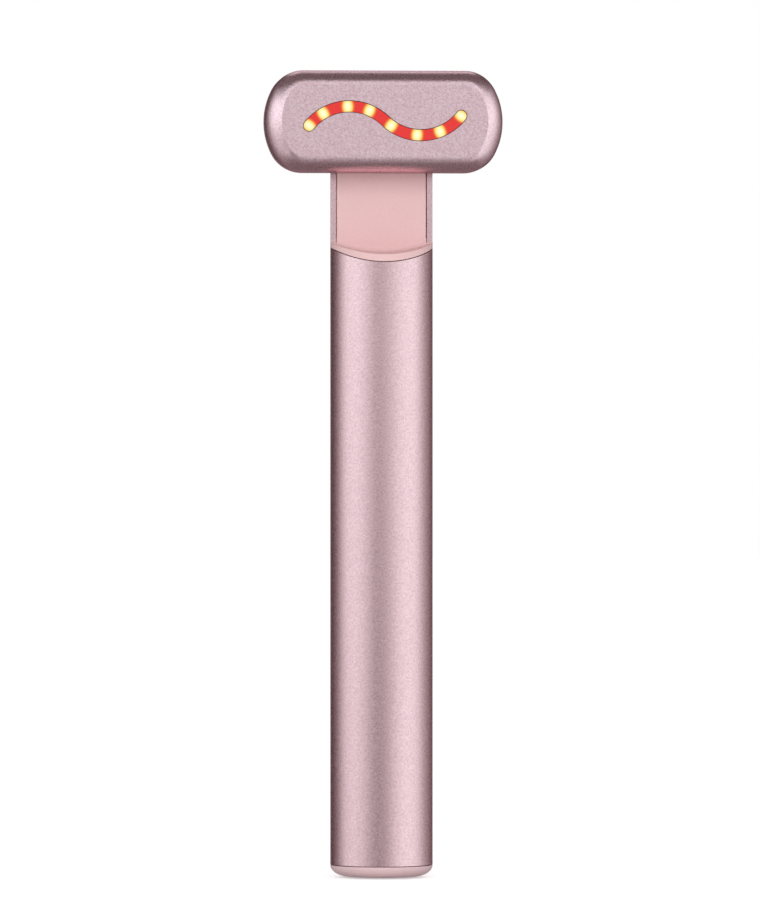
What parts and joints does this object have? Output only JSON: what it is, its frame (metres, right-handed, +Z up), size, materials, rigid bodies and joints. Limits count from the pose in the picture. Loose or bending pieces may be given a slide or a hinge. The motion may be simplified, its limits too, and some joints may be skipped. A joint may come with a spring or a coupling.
{
  "type": "red light facial wand",
  "caption": "Slim round skin-care wand with a swivelling T-shaped head, a glowing wave-shaped light slot, a scooped neck, a push button and a charging socket in its foot.",
  "frame": {"origin": "on the handle's axis, in the plane of the end cap's foot, which the wand stands on", "axes": "+Z up along the handle to the head, -Y out of the treatment face, +X to the right of the treatment face as seen from the front"},
  "size_m": [0.0418, 0.019, 0.1413],
  "materials": {
    "rose_gold": "bead-blasted, anodised rose gold",
    "rose_gold_button": "bead-blasted, anodised rose gold",
    "blush_plastic": "satin",
    "red_lens": "clear red, lit from behind",
    "led_package": "clear over a pale die",
    "clear_plastic": "clear",
    "grey_silicone": "matte",
    "grey_foam": "closed-cell foam",
    "steel": "plain",
    "weight_metal": "sintered",
    "contact_brass": "gold flashed",
    "white_nylon": "moulded",
    "circuit_board": "green solder mask",
    "black_plastic": "moulded",
    "cell_sleeve": "shrink sleeve",
    "amber_film": "polyimide",
    "lead_jacket": "matte"
  },
  "bodies": {
    "handle": {"handle_tube": "rose_gold", "neck_insert": "blush_plastic", "swivel_bush": "white_nylon", "spring_washer": "steel", "end_cap": "blush_plastic", "cap_seal": "grey_silicone", "port_shell": "steel", "port_tongue": "black_plastic", "charge_light_pipe": "clear_plastic", "charge_led": "led_package", "charge_board": "circuit_board", "chassis": "white_nylon", "battery_cell": "cell_sleeve", "battery_tabs": "steel", "battery_pad": "grey_foam", "main_board": "circuit_board", "board_screws": "steel", "board_chips": "black_plastic", "tube_contact": "contact_brass", "tact_switch": "black_plastic", "board_socket": "black_plastic", "handle_lead": "lead_jacket", "charge_lead": "lead_jacket"},
    "head": {"head_face": "rose_gold", "head_gasket": "grey_silicone", "head_back": "rose_gold", "head_screws": "steel", "light_lens": "red_lens", "light_board": "circuit_board", "red_leds": "led_package", "heater_film": "amber_film", "heat_sensor": "black_plastic", "face_contact": "contact_brass", "head_plug": "black_plastic", "head_lead": "lead_jacket", "vibration_motor": "steel", "motor_boot": "grey_silicone", "swivel_post": "steel", "thrust_washer": "white_nylon", "retaining_clip": "steel", "stop_pin": "steel"},
    "motor_rotor": {"motor_shaft": "steel", "eccentric_weight": "weight_metal"},
    "button": {"power_button": "rose_gold_button", "switch_plunger": "black_plastic"}
  },
  "joints": [
    {"name": "head_swivel", "type": "hinge", "parent": "handle", "child": "head", "pos_m": [0, 0, 0.1324], "axis": [0, 1, 0], "range_deg": [-90, 90]},
    {"name": "power_press", "type": "slide", "parent": "handle", "child": "button", "axis": [0, -1, 0], "range_m": [0, 0.0004], "stiffness_N_per_m": 4000},
    {"name": "motor_spin", "type": "hinge", "parent": "head", "child": "motor_rotor", "pos_m": [0.0105, -0.0038, 0.1324], "axis": [1, 0, 0], "continuous": true}
  ]
}
